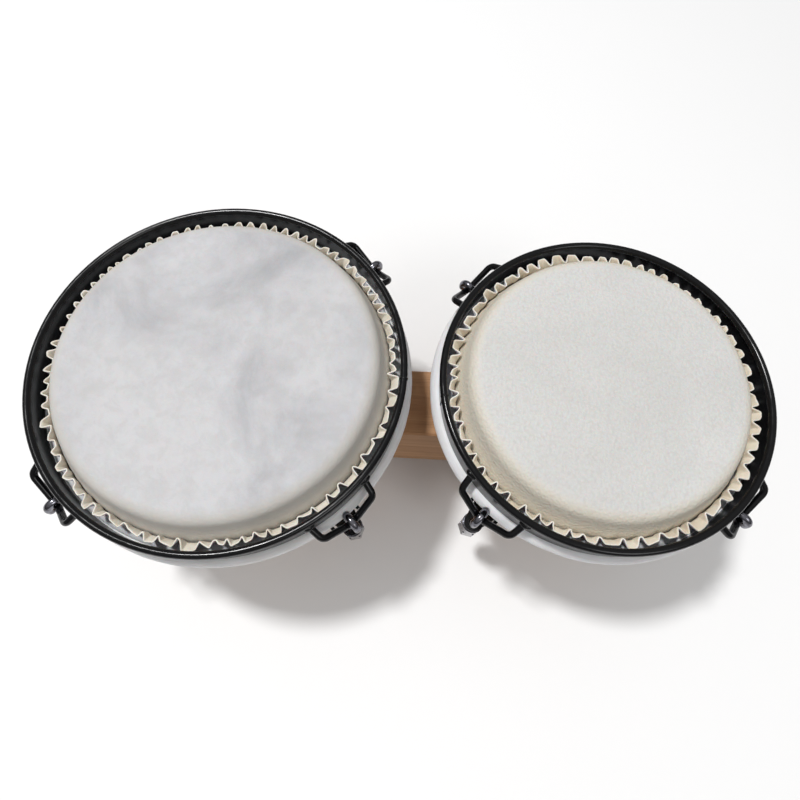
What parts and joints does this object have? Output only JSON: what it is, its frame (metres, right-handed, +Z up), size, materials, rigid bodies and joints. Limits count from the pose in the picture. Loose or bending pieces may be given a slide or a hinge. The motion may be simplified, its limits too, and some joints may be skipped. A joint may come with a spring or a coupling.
{
  "type": "bongo drums",
  "caption": "Pair of bongo drums: tapered wooden shells on a centre block, rawhide heads, black steel crowns drawn down by hooks and tuning nuts.",
  "frame": {"origin": "on the floor under the middle of the pair, at the bottom centre of the bounding box", "axes": "+X from the large drum to the small drum, +Y away from the player, +Z up towards the playing heads"},
  "size_m": [0.4538, 0.233, 0.1605],
  "materials": {
    "shell_wood": "satin lacquered hardwood staves",
    "block_wood": "satin lacquered light hardwood",
    "large_skin": "natural rawhide, cool white with grey marbling",
    "small_skin": "natural rawhide, warm white with fine pebbled grain",
    "black_crown": "gloss black powder coat",
    "black_bracket": "semi-gloss black powder coat",
    "dark_chrome": "polished black nickel",
    "plain_steel": "zinc-plated steel"
  },
  "bodies": {
    "root": {"large_shell": "shell_wood", "large_head": "large_skin", "large_nut_washers": "dark_chrome", "large_brackets": "black_bracket", "large_bracket_bolts": "dark_chrome", "large_bracket_washers": "plain_steel", "large_bracket_nuts": "plain_steel", "large_wedge_pad": "block_wood", "small_shell": "shell_wood", "small_head": "small_skin", "small_nut_washers": "dark_chrome", "small_brackets": "black_bracket", "small_bracket_bolts": "dark_chrome", "small_bracket_washers": "plain_steel", "small_bracket_nuts": "plain_steel", "small_wedge_pad": "block_wood", "centre_block": "block_wood", "block_bolts": "plain_steel", "block_nuts": "plain_steel", "block_washers": "plain_steel"},
    "large_crown": {"large_skin_fold": "large_skin", "large_flesh_ring": "plain_steel", "large_rim_wire": "black_crown", "large_rim_band": "black_crown", "large_rim_ears": "black_crown", "large_tuning_hooks": "dark_chrome"},
    "small_crown": {"small_skin_fold": "small_skin", "small_flesh_ring": "plain_steel", "small_rim_wire": "black_crown", "small_rim_band": "black_crown", "small_rim_ears": "black_crown", "small_tuning_hooks": "dark_chrome"},
    "large_nut_1": {"large_tuning_nut_1": "dark_chrome"},
    "large_nut_2": {"large_tuning_nut_2": "dark_chrome"},
    "large_nut_3": {"large_tuning_nut_3": "dark_chrome"},
    "large_nut_4": {"large_tuning_nut_4": "dark_chrome"},
    "small_nut_1": {"small_tuning_nut_1": "dark_chrome"},
    "small_nut_2": {"small_tuning_nut_2": "dark_chrome"},
    "small_nut_3": {"small_tuning_nut_3": "dark_chrome"},
    "small_nut_4": {"small_tuning_nut_4": "dark_chrome"}
  },
  "joints": [
    {"name": "large_nut_1_turn", "type": "hinge", "parent": "root", "child": "large_nut_1", "pos_m": [-0.19436, -0.08217, 0.069], "axis": [0, 0, 1], "range_deg": [-720, 1080]},
    {"name": "large_nut_2_turn", "type": "hinge", "parent": "root", "child": "large_nut_2", "pos_m": [-0.02828, -0.08391, 0.069], "axis": [0, 0, 1], "range_deg": [-720, 1080]},
    {"name": "large_nut_3_turn", "type": "hinge", "parent": "root", "child": "large_nut_3", "pos_m": [-0.02654, 0.08217, 0.069], "axis": [0, 0, 1], "range_deg": [-720, 1080]},
    {"name": "large_nut_4_turn", "type": "hinge", "parent": "root", "child": "large_nut_4", "pos_m": [-0.19262, 0.08391, 0.069], "axis": [0, 0, 1], "range_deg": [-720, 1080]},
    {"name": "large_crown_slide", "type": "slide", "parent": "root", "child": "large_crown", "axis": [0, 0, -1], "range_m": [-0.002, 0.003]},
    {"name": "small_nut_1_turn", "type": "hinge", "parent": "root", "child": "small_nut_1", "pos_m": [0.05265, -0.07747, 0.069], "axis": [0, 0, 1], "range_deg": [-720, 1080]},
    {"name": "small_nut_2_turn", "type": "hinge", "parent": "root", "child": "small_nut_2", "pos_m": [0.20062, -0.0705, 0.069], "axis": [0, 0, 1], "range_deg": [-720, 1080]},
    {"name": "small_nut_3_turn", "type": "hinge", "parent": "root", "child": "small_nut_3", "pos_m": [0.19365, 0.07747, 0.069], "axis": [0, 0, 1], "range_deg": [-720, 1080]},
    {"name": "small_nut_4_turn", "type": "hinge", "parent": "root", "child": "small_nut_4", "pos_m": [0.04568, 0.0705, 0.069], "axis": [0, 0, 1], "range_deg": [-720, 1080]},
    {"name": "small_crown_slide", "type": "slide", "parent": "root", "child": "small_crown", "axis": [0, 0, -1], "range_m": [-0.002, 0.003]}
  ],
  "couplings": [
    {"joint": "large_nut_1_turn", "follows": "large_crown_slide", "rad_per_m": 6283.1},
    {"joint": "large_nut_2_turn", "follows": "large_crown_slide", "rad_per_m": 6283.1},
    {"joint": "large_nut_3_turn", "follows": "large_crown_slide", "rad_per_m": 6283.1},
    {"joint": "large_nut_4_turn", "follows": "large_crown_slide", "rad_per_m": 6283.1},
    {"joint": "small_nut_1_turn", "follows": "small_crown_slide", "rad_per_m": 6283.1},
    {"joint": "small_nut_2_turn", "follows": "small_crown_slide", "rad_per_m": 6283.1},
    {"joint": "small_nut_3_turn", "follows": "small_crown_slide", "rad_per_m": 6283.1},
    {"joint": "small_nut_4_turn", "follows": "small_crown_slide", "rad_per_m": 6283.1}
  ]
}
